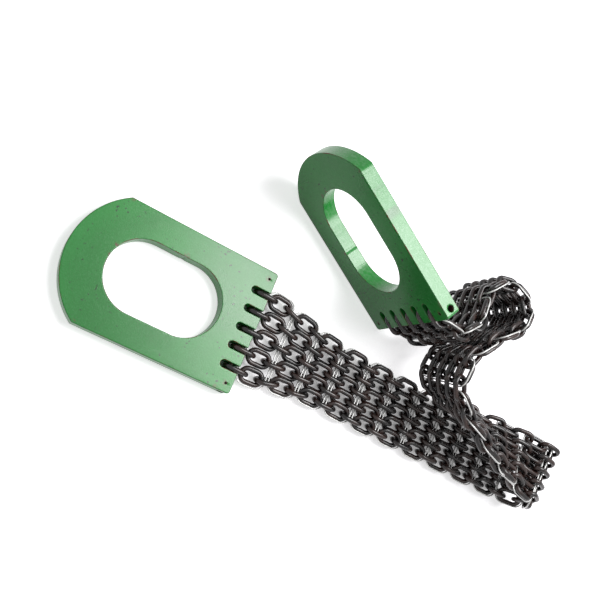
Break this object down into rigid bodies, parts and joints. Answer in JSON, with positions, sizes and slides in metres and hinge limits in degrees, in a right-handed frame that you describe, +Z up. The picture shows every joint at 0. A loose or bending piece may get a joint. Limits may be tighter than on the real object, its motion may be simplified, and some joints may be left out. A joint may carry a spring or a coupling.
{
  "type": "chain mesh sling",
  "caption": "Flexible chain mesh sling between two flat steel end plates with large oblong hook eyes, lying folded with one plate flat and the other standing on its long edge.",
  "frame": {"origin": "underside of the lying end plate, in the middle of the web between its hook eye and its slots", "axes": "+X along the lying plate from its hook eye to its slots, +Z up off the surface that everything rests on"},
  "size_m": [0.729, 0.3163, 0.166],
  "materials": {
    "plate_paint": "satin green paint on flame-cut edges",
    "chain_steel": "dark oiled",
    "pin_steel": "plain"
  },
  "bodies": {
    "plate_a": {"plate_a": "plate_paint", "cross_pin_a": "pin_steel", "roll_pins_a": "pin_steel"},
    "upright_row_01": {"upright_links_01": "chain_steel"},
    "flat_row_01": {"flat_links_01": "chain_steel"},
    "upright_row_02": {"upright_links_02": "chain_steel"},
    "flat_row_02": {"flat_links_02": "chain_steel"},
    "upright_row_03": {"upright_links_03": "chain_steel"},
    "flat_row_03": {"flat_links_03": "chain_steel"},
    "upright_row_04": {"upright_links_04": "chain_steel"},
    "flat_row_04": {"flat_links_04": "chain_steel"},
    "upright_row_05": {"upright_links_05": "chain_steel"},
    "flat_row_05": {"flat_links_05": "chain_steel"},
    "upright_row_06": {"upright_links_06": "chain_steel"},
    "flat_row_06": {"flat_links_06": "chain_steel"},
    "upright_row_07": {"upright_links_07": "chain_steel"},
    "flat_row_07": {"flat_links_07": "chain_steel"},
    "upright_row_08": {"upright_links_08": "chain_steel"},
    "flat_row_08": {"flat_links_08": "chain_steel"},
    "upright_row_09": {"upright_links_09": "chain_steel"},
    "flat_row_09": {"flat_links_09": "chain_steel"},
    "upright_row_10": {"upright_links_10": "chain_steel"},
    "flat_row_10": {"flat_links_10": "chain_steel"},
    "upright_row_11": {"upright_links_11": "chain_steel"},
    "flat_row_11": {"flat_links_11": "chain_steel"},
    "upright_row_12": {"upright_links_12": "chain_steel"},
    "flat_row_12": {"flat_links_12": "chain_steel"},
    "upright_row_13": {"upright_links_13": "chain_steel"},
    "flat_row_13": {"flat_links_13": "chain_steel"},
    "upright_row_14": {"upright_links_14": "chain_steel"},
    "flat_row_14": {"flat_links_14": "chain_steel"},
    "upright_row_15": {"upright_links_15": "chain_steel"},
    "flat_row_15": {"flat_links_15": "chain_steel"},
    "upright_row_16": {"upright_links_16": "chain_steel"},
    "flat_row_16": {"flat_links_16": "chain_steel"},
    "upright_row_17": {"upright_links_17": "chain_steel"},
    "flat_row_17": {"flat_links_17": "chain_steel"},
    "upright_row_18": {"upright_links_18": "chain_steel"},
    "flat_row_18": {"flat_links_18": "chain_steel"},
    "upright_row_19": {"upright_links_19": "chain_steel"},
    "flat_row_19": {"flat_links_19": "chain_steel"},
    "upright_row_20": {"upright_links_20": "chain_steel"},
    "flat_row_20": {"flat_links_20": "chain_steel"},
    "upright_row_21": {"upright_links_21": "chain_steel"},
    "flat_row_21": {"flat_links_21": "chain_steel"},
    "upright_row_22": {"upright_links_22": "chain_steel"},
    "flat_row_22": {"flat_links_22": "chain_steel"},
    "upright_row_23": {"upright_links_23": "chain_steel"},
    "flat_row_23": {"flat_links_23": "chain_steel"},
    "upright_row_24": {"upright_links_24": "chain_steel"},
    "flat_row_24": {"flat_links_24": "chain_steel"},
    "upright_row_25": {"upright_links_25": "chain_steel"},
    "flat_row_25": {"flat_links_25": "chain_steel"},
    "upright_row_26": {"upright_links_26": "chain_steel"},
    "flat_row_26": {"flat_links_26": "chain_steel"},
    "upright_row_27": {"upright_links_27": "chain_steel"},
    "plate_b": {"plate_b": "plate_paint", "cross_pin_b": "pin_steel", "roll_pins_b": "pin_steel"}
  },
  "joints": [
    {"name": "pin_hinge_a", "type": "hinge", "parent": "plate_a", "child": "upright_row_01", "pos_m": [0.029, 0, 0.01], "axis": [0, -1, 0], "range_deg": [-20, 3]},
    {"name": "link_joint_01", "type": "hinge", "parent": "upright_row_01", "child": "flat_row_01", "pos_m": [0.0442, 0, 0.0118], "axis": [0, -1, 0], "range_deg": [-10, 20]},
    {"name": "link_joint_02", "type": "hinge", "parent": "flat_row_01", "child": "upright_row_02", "pos_m": [0.07369, -0.00052, 0.0118], "axis": [0, 1, 0], "range_deg": [-10, 0]},
    {"name": "link_joint_03", "type": "hinge", "parent": "upright_row_02", "child": "flat_row_02", "pos_m": [0.08689, -0.00098, 0.0118], "axis": [0, 1, 0], "range_deg": [-20, 15]},
    {"name": "link_joint_04", "type": "hinge", "parent": "flat_row_02", "child": "upright_row_03", "pos_m": [0.11635, -0.00252, 0.0118], "axis": [0, 1, 0], "range_deg": [-20, 20]},
    {"name": "link_joint_05", "type": "hinge", "parent": "upright_row_03", "child": "flat_row_03", "pos_m": [0.12953, -0.00321, 0.0118], "axis": [0, -1, 0], "range_deg": [-10, 10]},
    {"name": "link_joint_06", "type": "hinge", "parent": "flat_row_03", "child": "upright_row_04", "pos_m": [0.15899, -0.00475, 0.0118], "axis": [0, -1, 0], "range_deg": [-20, 20]},
    {"name": "link_joint_07", "type": "hinge", "parent": "upright_row_04", "child": "flat_row_04", "pos_m": [0.17247, -0.00546, 0.0118], "axis": [0, 1, 0], "range_deg": [-20, 20]},
    {"name": "link_joint_08", "type": "hinge", "parent": "flat_row_04", "child": "upright_row_05", "pos_m": [0.20193, -0.007, 0.0118], "axis": [0, 1, 0], "range_deg": [-20, 20]},
    {"name": "link_joint_09", "type": "hinge", "parent": "upright_row_05", "child": "flat_row_05", "pos_m": [0.21542, -0.00748, 0.0118], "axis": [0, -1, 0], "range_deg": [-20, 20]},
    {"name": "link_joint_10", "type": "hinge", "parent": "flat_row_05", "child": "upright_row_06", "pos_m": [0.24492, -0.00799, 0.0118], "axis": [0, -1, 0], "range_deg": [-20, 20]},
    {"name": "link_joint_11", "type": "hinge", "parent": "upright_row_06", "child": "flat_row_06", "pos_m": [0.25842, -0.00823, 0.0118], "axis": [0, 1, 0], "range_deg": [-20, 20]},
    {"name": "link_joint_12", "type": "hinge", "parent": "flat_row_06", "child": "upright_row_07", "pos_m": [0.28791, -0.00874, 0.0118], "axis": [0, 1, 0], "range_deg": [-20, 20]},
    {"name": "link_joint_13", "type": "hinge", "parent": "upright_row_07", "child": "flat_row_07", "pos_m": [0.30141, -0.00898, 0.0118], "axis": [0, -1, 0], "range_deg": [-20, 20]},
    {"name": "link_joint_14", "type": "hinge", "parent": "flat_row_07", "child": "upright_row_08", "pos_m": [0.3309, -0.00949, 0.0118], "axis": [0, -1, 0], "range_deg": [-20, 10]},
    {"name": "link_joint_15", "type": "hinge", "parent": "upright_row_08", "child": "flat_row_08", "pos_m": [0.3444, -0.00973, 0.0118], "axis": [0, 1, 0], "range_deg": [-10, 20]},
    {"name": "link_joint_16", "type": "hinge", "parent": "flat_row_08", "child": "upright_row_09", "pos_m": [0.3739, -0.01024, 0.0118], "axis": [0, -1, 0], "range_deg": [-20, 5]},
    {"name": "link_joint_17", "type": "hinge", "parent": "upright_row_09", "child": "flat_row_09", "pos_m": [0.38739, -0.01048, 0.0118], "axis": [0, -1, 0], "range_deg": [-20, 5]},
    {"name": "link_joint_18", "type": "hinge", "parent": "flat_row_09", "child": "upright_row_10", "pos_m": [0.41689, -0.01099, 0.0118], "axis": [0, -1, 0], "range_deg": [-15, 0]},
    {"name": "link_joint_19", "type": "hinge", "parent": "upright_row_10", "child": "flat_row_10", "pos_m": [0.43039, -0.01123, 0.0118], "axis": [0, 1, 0], "range_deg": [0, 15]},
    {"name": "link_joint_20", "type": "hinge", "parent": "flat_row_10", "child": "upright_row_11", "pos_m": [0.45988, -0.01174, 0.0118], "axis": [0, 1, 0], "range_deg": [0, 15]},
    {"name": "link_joint_21", "type": "hinge", "parent": "upright_row_11", "child": "flat_row_11", "pos_m": [0.47338, -0.01198, 0.0118], "axis": [-0.0087, -1, 0], "range_deg": [-15, 0]},
    {"name": "link_joint_22", "type": "hinge", "parent": "flat_row_11", "child": "upright_row_12", "pos_m": [0.49812, -0.01241, 0.02787], "axis": [-0.0427, -0.9991, 0.0068], "range_deg": [-15, 0]},
    {"name": "link_joint_23", "type": "hinge", "parent": "upright_row_12", "child": "flat_row_12", "pos_m": [0.50138, -0.01247, 0.04004], "axis": [0.1144, 0.9934, 0.0102], "range_deg": [0, 15]},
    {"name": "link_joint_24", "type": "hinge", "parent": "flat_row_12", "child": "upright_row_13", "pos_m": [0.48803, -0.0112, 0.06631], "axis": [0.1532, 0.9881, 0.0135], "range_deg": [0, 15]},
    {"name": "link_joint_25", "type": "hinge", "parent": "upright_row_13", "child": "flat_row_13", "pos_m": [0.47633, -0.00944, 0.07063], "axis": [-0.15, -0.9833, 0.1027], "range_deg": [-5, 0]},
    {"name": "link_joint_26", "type": "hinge", "parent": "flat_row_13", "child": "upright_row_14", "pos_m": [0.44718, -0.00516, 0.0691], "axis": [-0.1481, -0.9479, 0.2821], "range_deg": [-10, 0]},
    {"name": "link_joint_27", "type": "hinge", "parent": "upright_row_14", "child": "flat_row_14", "pos_m": [0.43474, -0.00315, 0.06931], "axis": [0.1388, 0.8889, -0.4365], "range_deg": [0, 5]},
    {"name": "link_joint_28", "type": "hinge", "parent": "flat_row_14", "child": "upright_row_15", "pos_m": [0.40556, 0.00117, 0.06883], "axis": [0.129, 0.8127, -0.5683], "range_deg": [0, 15]},
    {"name": "link_joint_29", "type": "hinge", "parent": "upright_row_15", "child": "flat_row_15", "pos_m": [0.39311, 0.00307, 0.06873], "axis": [-0.1127, -0.7241, 0.6804], "range_deg": [-5, 0]},
    {"name": "link_joint_30", "type": "hinge", "parent": "flat_row_15", "child": "upright_row_16", "pos_m": [0.36412, 0.00848, 0.06968], "axis": [-0.0892, -0.6249, 0.7756], "range_deg": [-15, 5]},
    {"name": "link_joint_31", "type": "hinge", "parent": "upright_row_16", "child": "flat_row_16", "pos_m": [0.3518, 0.01102, 0.07031], "axis": [0.0622, 0.5138, -0.8556], "range_deg": [-5, 10]},
    {"name": "link_joint_32", "type": "hinge", "parent": "flat_row_16", "child": "upright_row_17", "pos_m": [0.32294, 0.01698, 0.07179], "axis": [0.0269, 0.3946, -0.9185], "range_deg": [-15, 20]},
    {"name": "link_joint_33", "type": "hinge", "parent": "upright_row_17", "child": "flat_row_17", "pos_m": [0.31095, 0.02065, 0.07301], "axis": [0.0293, -0.275, 0.961], "range_deg": [-20, 15]},
    {"name": "link_joint_34", "type": "hinge", "parent": "flat_row_17", "child": "upright_row_18", "pos_m": [0.28538, 0.03456, 0.07778], "axis": [0.0923, -0.1957, 0.9763], "range_deg": [-20, 20]},
    {"name": "link_joint_35", "type": "hinge", "parent": "upright_row_18", "child": "flat_row_18", "pos_m": [0.27811, 0.0445, 0.08045], "axis": [-0.1206, 0.1753, -0.9771], "range_deg": [-20, 20]},
    {"name": "link_joint_36", "type": "hinge", "parent": "flat_row_18", "child": "upright_row_19", "pos_m": [0.27937, 0.07353, 0.08551], "axis": [-0.0938, 0.1539, -0.9836], "range_deg": [-20, 20]},
    {"name": "link_joint_37", "type": "hinge", "parent": "upright_row_19", "child": "flat_row_19", "pos_m": [0.28733, 0.08328, 0.08627], "axis": [0.0335, -0.0663, 0.9972], "range_deg": [-20, 10]},
    {"name": "link_joint_38", "type": "hinge", "parent": "flat_row_19", "child": "upright_row_20", "pos_m": [0.30745, 0.10485, 0.08602], "axis": [0, 0, 1], "range_deg": [-15, 0]},
    {"name": "link_joint_39", "type": "hinge", "parent": "upright_row_20", "child": "flat_row_20", "pos_m": [0.31451, 0.11573, 0.08522], "axis": [0, 0, -1], "range_deg": [0, 15]},
    {"name": "link_joint_40", "type": "hinge", "parent": "flat_row_20", "child": "upright_row_21", "pos_m": [0.33663, 0.13496, 0.08188], "axis": [0, 0, -1], "range_deg": [0, 15]},
    {"name": "link_joint_41", "type": "hinge", "parent": "upright_row_21", "child": "flat_row_21", "pos_m": [0.34601, 0.14371, 0.07974], "axis": [0, 0, 1], "range_deg": [-15, 0]},
    {"name": "link_joint_42", "type": "hinge", "parent": "flat_row_21", "child": "upright_row_22", "pos_m": [0.3516, 0.17245, 0.07614], "axis": [0, 0, 1], "range_deg": [-15, 0]},
    {"name": "link_joint_43", "type": "hinge", "parent": "upright_row_22", "child": "flat_row_22", "pos_m": [0.34577, 0.18389, 0.07411], "axis": [0, 0, -1], "range_deg": [0, 15]},
    {"name": "link_joint_44", "type": "hinge", "parent": "flat_row_22", "child": "upright_row_23", "pos_m": [0.31923, 0.19626, 0.07051], "axis": [0, 0, -1], "range_deg": [0, 15]},
    {"name": "link_joint_45", "type": "hinge", "parent": "upright_row_23", "child": "flat_row_23", "pos_m": [0.3066, 0.19335, 0.06961], "axis": [0, 0, 1], "range_deg": [-15, 0]},
    {"name": "link_joint_46", "type": "hinge", "parent": "flat_row_23", "child": "upright_row_24", "pos_m": [0.28764, 0.17075, 0.06909], "axis": [0, 0, 1], "range_deg": [-15, 0]},
    {"name": "link_joint_47", "type": "hinge", "parent": "upright_row_24", "child": "flat_row_24", "pos_m": [0.28673, 0.15779, 0.06954], "axis": [0, 0, 1], "range_deg": [-15, 0]},
    {"name": "link_joint_48", "type": "hinge", "parent": "flat_row_24", "child": "upright_row_25", "pos_m": [0.28468, 0.12848, 0.07212], "axis": [0, 0, -1], "range_deg": [0, 15]},
    {"name": "link_joint_49", "type": "hinge", "parent": "upright_row_25", "child": "flat_row_25", "pos_m": [0.27951, 0.11687, 0.07368], "axis": [0, 0, 1], "range_deg": [-20, 5]},
    {"name": "link_joint_50", "type": "hinge", "parent": "flat_row_25", "child": "upright_row_26", "pos_m": [0.25927, 0.09591, 0.07829], "axis": [0, 0, 1], "range_deg": [-15, 20]},
    {"name": "link_joint_51", "type": "hinge", "parent": "upright_row_26", "child": "flat_row_26", "pos_m": [0.24755, 0.09106, 0.08002], "axis": [0, 0, -1], "range_deg": [0, 10]},
    {"name": "link_joint_52", "type": "hinge", "parent": "flat_row_26", "child": "upright_row_27", "pos_m": [0.21825, 0.09157, 0.08336], "axis": [0, 0, -1], "range_deg": [-15, 20]},
    {"name": "pin_hinge_b", "type": "hinge", "parent": "upright_row_27", "child": "plate_b", "pos_m": [0.20528, 0.09949, 0.083], "axis": [0, 0, 1], "range_deg": [-20, 8]}
  ]
}
